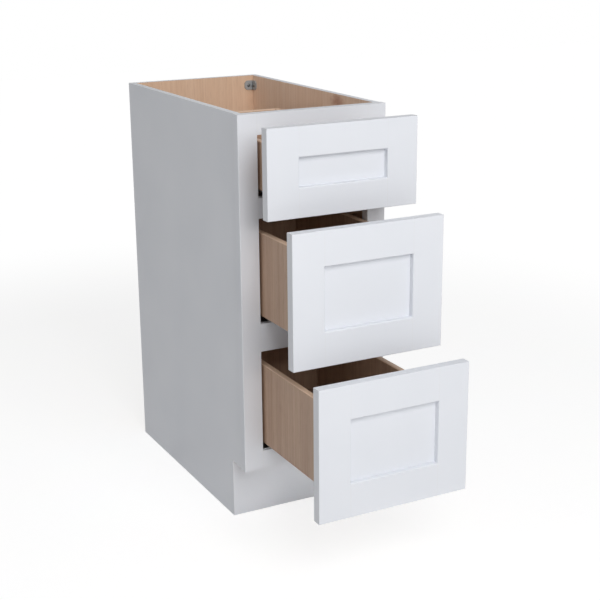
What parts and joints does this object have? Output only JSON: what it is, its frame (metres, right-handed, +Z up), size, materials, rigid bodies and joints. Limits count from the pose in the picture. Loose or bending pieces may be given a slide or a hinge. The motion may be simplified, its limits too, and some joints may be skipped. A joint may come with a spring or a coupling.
{
  "type": "vanity drawer base cabinet",
  "caption": "Face-frame bathroom vanity base cabinet with stacked recessed-panel drawers drawn out on full-extension undermount slides, open at the top for a vanity top.",
  "frame": {"origin": "on the wall plane, at floor level, in the middle of the width", "axes": "+X to the right seen from the front, +Y into the wall, +Z up"},
  "size_m": [0.3048, 0.845, 0.8001],
  "materials": {
    "white_paint": "sprayed satin enamel",
    "maple_veneer": "clear-coated veneer",
    "zinc_steel": "zinc plated",
    "grey_nylon": "moulded",
    "pale_acetal": "moulded",
    "clear_rubber": "soft"
  },
  "bodies": {
    "cabinet": {"left_side_panel": "white_paint", "right_side_panel": "white_paint", "toe_kick": "white_paint", "frame_left_stile": "white_paint", "frame_right_stile": "white_paint", "frame_top_rail": "white_paint", "frame_upper_rail": "white_paint", "frame_lower_rail": "white_paint", "frame_bottom_rail": "white_paint", "back_panel": "maple_veneer", "bottom_panel": "maple_veneer", "corner_braces": "grey_nylon", "rear_sockets": "grey_nylon", "case_screws": "zinc_steel", "top_slide_rails": "zinc_steel", "middle_slide_rails": "zinc_steel", "bottom_slide_rails": "zinc_steel"},
    "top_drawer": {"top_front_stiles": "white_paint", "top_front_rails": "white_paint", "top_front_panel": "white_paint", "top_box_left_side": "maple_veneer", "top_box_right_side": "maple_veneer", "top_box_front": "maple_veneer", "top_box_back": "maple_veneer", "top_box_bottom": "maple_veneer", "top_slide_runners": "zinc_steel", "top_lock_clips": "grey_nylon", "top_bumpers": "clear_rubber"},
    "top_carriages": {"top_slide_carriages": "zinc_steel"},
    "top_left_lever": {"top_left_lever": "pale_acetal"},
    "top_right_lever": {"top_right_lever": "pale_acetal"},
    "middle_drawer": {"middle_front_stiles": "white_paint", "middle_front_rails": "white_paint", "middle_front_panel": "white_paint", "middle_box_left_side": "maple_veneer", "middle_box_right_side": "maple_veneer", "middle_box_front": "maple_veneer", "middle_box_back": "maple_veneer", "middle_box_bottom": "maple_veneer", "middle_slide_runners": "zinc_steel", "middle_lock_clips": "grey_nylon", "middle_bumpers": "clear_rubber"},
    "middle_carriages": {"middle_slide_carriages": "zinc_steel"},
    "middle_left_lever": {"middle_left_lever": "pale_acetal"},
    "middle_right_lever": {"middle_right_lever": "pale_acetal"},
    "bottom_drawer": {"bottom_front_stiles": "white_paint", "bottom_front_rails": "white_paint", "bottom_front_panel": "white_paint", "bottom_box_left_side": "maple_veneer", "bottom_box_right_side": "maple_veneer", "bottom_box_front": "maple_veneer", "bottom_box_back": "maple_veneer", "bottom_box_bottom": "maple_veneer", "bottom_slide_runners": "zinc_steel", "bottom_lock_clips": "grey_nylon", "bottom_bumpers": "clear_rubber"},
    "bottom_carriages": {"bottom_slide_carriages": "zinc_steel"},
    "bottom_left_lever": {"bottom_left_lever": "pale_acetal"},
    "bottom_right_lever": {"bottom_right_lever": "pale_acetal"}
  },
  "joints": [
    {"name": "top_drawer_slide", "type": "slide", "parent": "cabinet", "child": "top_drawer", "axis": [0, -1, 0], "range_m": [-0.0915, 0.3585]},
    {"name": "top_carriage_slide", "type": "slide", "parent": "cabinet", "child": "top_carriages", "axis": [0, -1, 0], "range_m": [-0.04575, 0.17925]},
    {"name": "top_left_lever_squeeze", "type": "hinge", "parent": "top_drawer", "child": "top_left_lever", "pos_m": [-0.06834, -0.60525, 0.66869], "axis": [-1, 0, 0], "range_deg": [0, 8], "stiffness_Nm_per_rad": 0.02, "springref_deg": -8.59},
    {"name": "top_right_lever_squeeze", "type": "hinge", "parent": "top_drawer", "child": "top_right_lever", "pos_m": [0.06834, -0.60525, 0.66869], "axis": [-1, 0, 0], "range_deg": [0, 8], "stiffness_Nm_per_rad": 0.02, "springref_deg": -8.59},
    {"name": "middle_drawer_slide", "type": "slide", "parent": "cabinet", "child": "middle_drawer", "axis": [0, -1, 0], "range_m": [-0.1815, 0.2685]},
    {"name": "middle_carriage_slide", "type": "slide", "parent": "cabinet", "child": "middle_carriages", "axis": [0, -1, 0], "range_m": [-0.09075, 0.13425]},
    {"name": "middle_left_lever_squeeze", "type": "hinge", "parent": "middle_drawer", "child": "middle_left_lever", "pos_m": [-0.06834, -0.69525, 0.43056], "axis": [-1, 0, 0], "range_deg": [0, 8], "stiffness_Nm_per_rad": 0.02, "springref_deg": -8.59},
    {"name": "middle_right_lever_squeeze", "type": "hinge", "parent": "middle_drawer", "child": "middle_right_lever", "pos_m": [0.06834, -0.69525, 0.43056], "axis": [-1, 0, 0], "range_deg": [0, 8], "stiffness_Nm_per_rad": 0.02, "springref_deg": -8.59},
    {"name": "bottom_drawer_slide", "type": "slide", "parent": "cabinet", "child": "bottom_drawer", "axis": [0, -1, 0], "range_m": [-0.2715, 0.1785]},
    {"name": "bottom_carriage_slide", "type": "slide", "parent": "cabinet", "child": "bottom_carriages", "axis": [0, -1, 0], "range_m": [-0.13575, 0.08925]},
    {"name": "bottom_left_lever_squeeze", "type": "hinge", "parent": "bottom_drawer", "child": "bottom_left_lever", "pos_m": [-0.06834, -0.78525, 0.17656], "axis": [-1, 0, 0], "range_deg": [0, 8], "stiffness_Nm_per_rad": 0.02, "springref_deg": -8.59},
    {"name": "bottom_right_lever_squeeze", "type": "hinge", "parent": "bottom_drawer", "child": "bottom_right_lever", "pos_m": [0.06834, -0.78525, 0.17656], "axis": [-1, 0, 0], "range_deg": [0, 8], "stiffness_Nm_per_rad": 0.02, "springref_deg": -8.59}
  ],
  "couplings": [
    {"joint": "top_carriage_slide", "follows": "top_drawer_slide", "ratio": 0.5},
    {"joint": "middle_carriage_slide", "follows": "middle_drawer_slide", "ratio": 0.5},
    {"joint": "bottom_carriage_slide", "follows": "bottom_drawer_slide", "ratio": 0.5}
  ]
}
